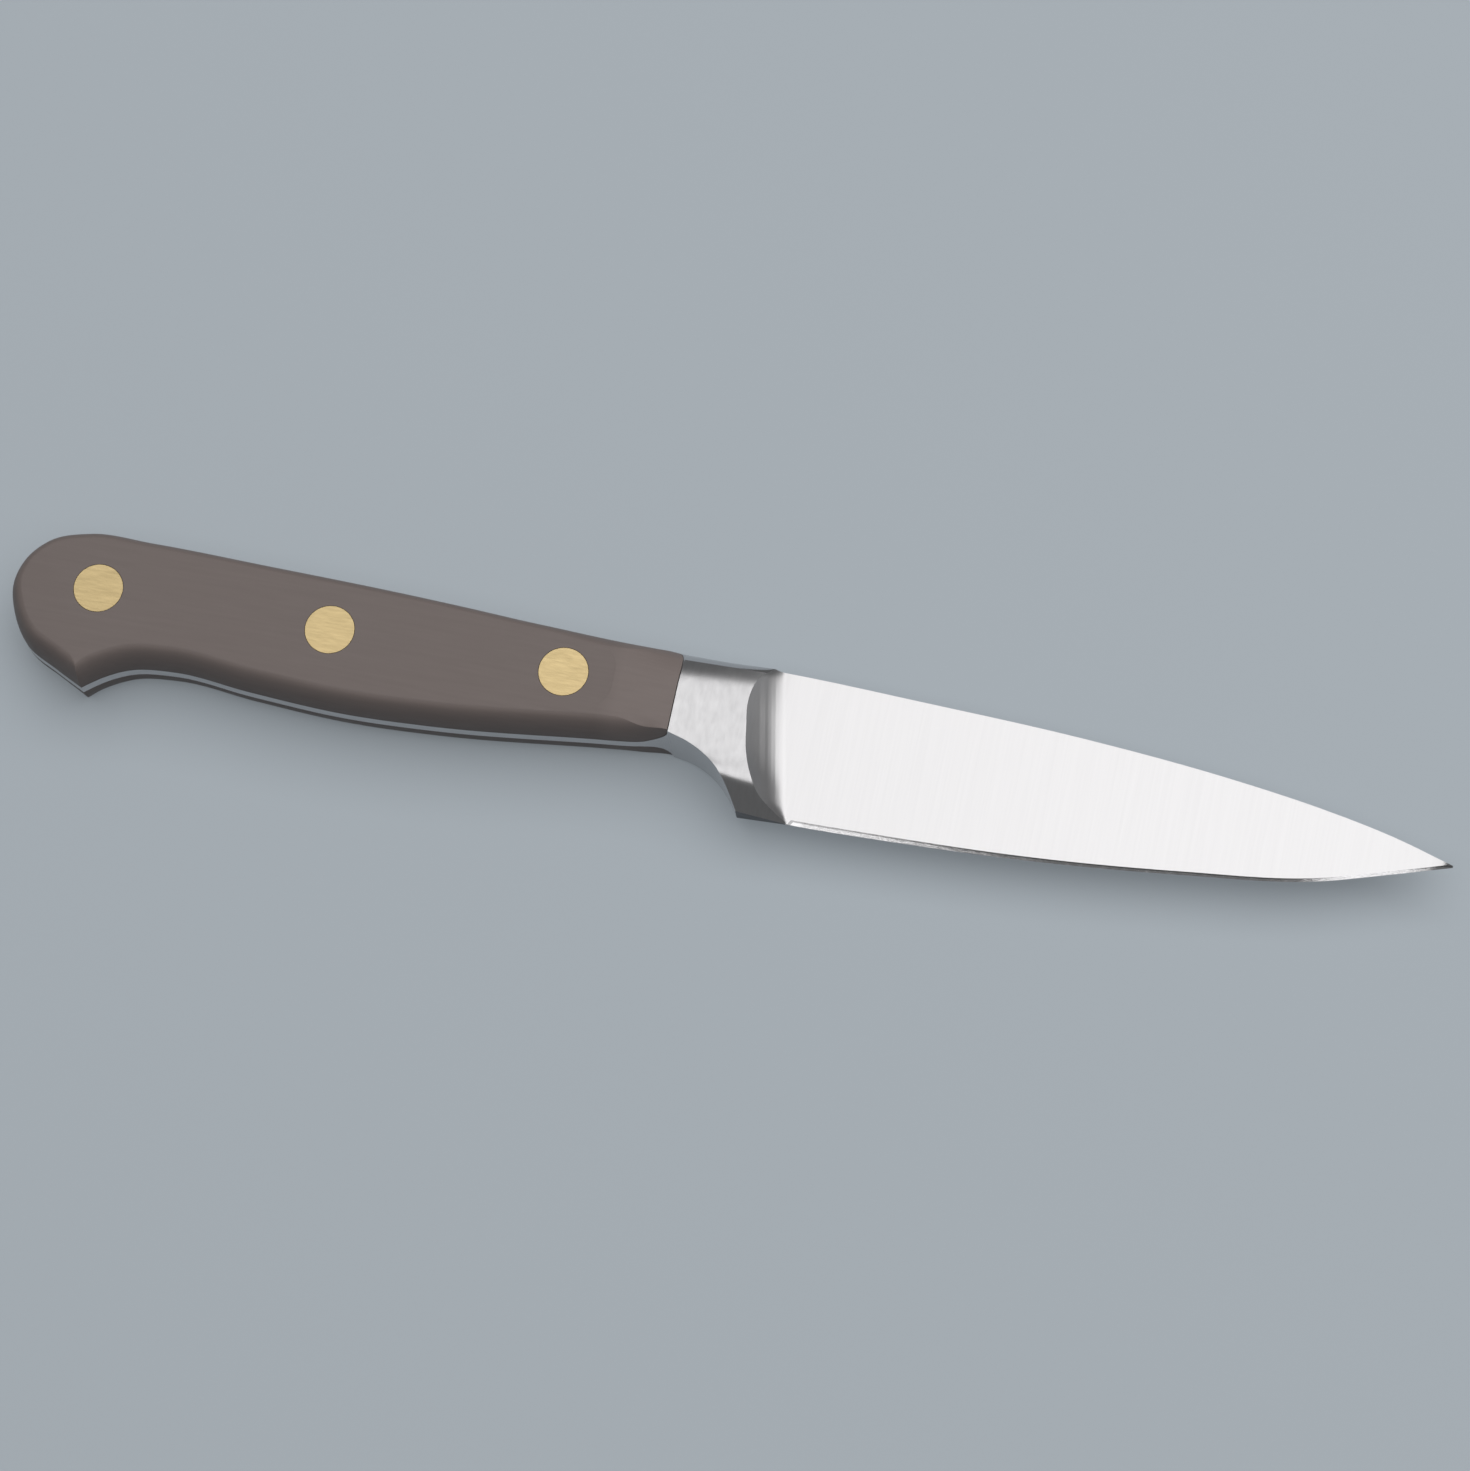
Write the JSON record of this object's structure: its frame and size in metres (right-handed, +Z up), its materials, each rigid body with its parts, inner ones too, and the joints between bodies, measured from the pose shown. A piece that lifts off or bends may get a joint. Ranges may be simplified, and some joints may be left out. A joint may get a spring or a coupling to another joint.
{
  "type": "riveted forged table knife",
  "caption": "Forged knife with a plain pointed blade, full bolster and finger guard, full tang, riveted handle scales and a hooked butt, lying on its side.",
  "frame": {"origin": "centre of the bounding box at the surface that the knife lies on", "axes": "+X from the butt to the tip, +Y from the cutting edge to the spine, +Z up, out of the right handle scale"},
  "size_m": [0.198, 0.0222, 0.0126],
  "materials": {
    "satin_steel": "satin, finely ground across the blade",
    "taupe_plastic": "smooth matte",
    "satin_brass": "satin, ground flush with the handle"
  },
  "bodies": {
    "root": {"blade_forging": "satin_steel", "right_handle_scale": "taupe_plastic", "left_handle_scale": "taupe_plastic", "rear_rivet_post": "satin_brass", "rear_rivet_socket": "satin_brass", "middle_rivet_post": "satin_brass", "middle_rivet_socket": "satin_brass", "front_rivet_post": "satin_brass", "front_rivet_socket": "satin_brass"}
  },
  "joints": []
}
